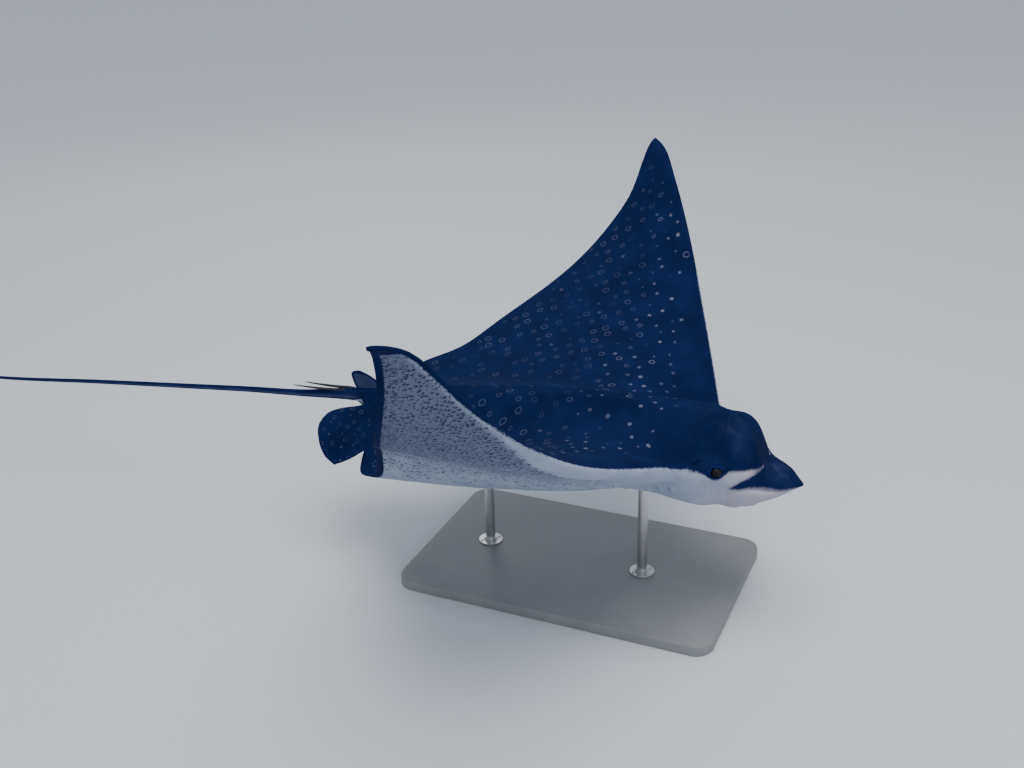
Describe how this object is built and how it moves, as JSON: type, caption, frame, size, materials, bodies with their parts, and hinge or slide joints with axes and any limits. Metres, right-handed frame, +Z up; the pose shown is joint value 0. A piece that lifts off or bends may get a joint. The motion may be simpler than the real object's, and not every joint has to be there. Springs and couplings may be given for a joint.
{
  "type": "spotted eagle ray",
  "caption": "Life-size still model of a swimming eagle ray, wings raised, ringed white spots over a dark back, whip tail, held on a flat base with short rods.",
  "frame": {"origin": "middle of the stand base's underside, on the floor", "axes": "+X towards the ray's snout, +Y to the ray's left, +Z up"},
  "size_m": [3.0985, 1.4858, 0.8023],
  "materials": {
    "skin": "smooth wet skin, dark with white rings above and pale below",
    "tail_skin": "smooth dark skin",
    "sting_horn": "dull horn",
    "eye": "wet gloss",
    "stand_paint": "fine textured grey paint",
    "stand_steel": "brushed"
  },
  "bodies": {
    "root": {"rostrum": "skin", "head": "skin", "trunk": "skin", "wing_right": "skin", "wing_left": "skin", "pelvic_fin_right": "skin", "pelvic_fin_left": "skin", "dorsal_fin": "skin", "tail_base": "tail_skin", "tail_front": "tail_skin", "tail_middle": "tail_skin", "tail_tip": "tail_skin", "sting_upper": "sting_horn", "sting_lower": "sting_horn", "eye_right": "eye", "eye_left": "eye", "stand_base": "stand_paint", "stand_rod_front": "stand_steel", "stand_rod_rear": "stand_steel"}
  },
  "joints": []
}
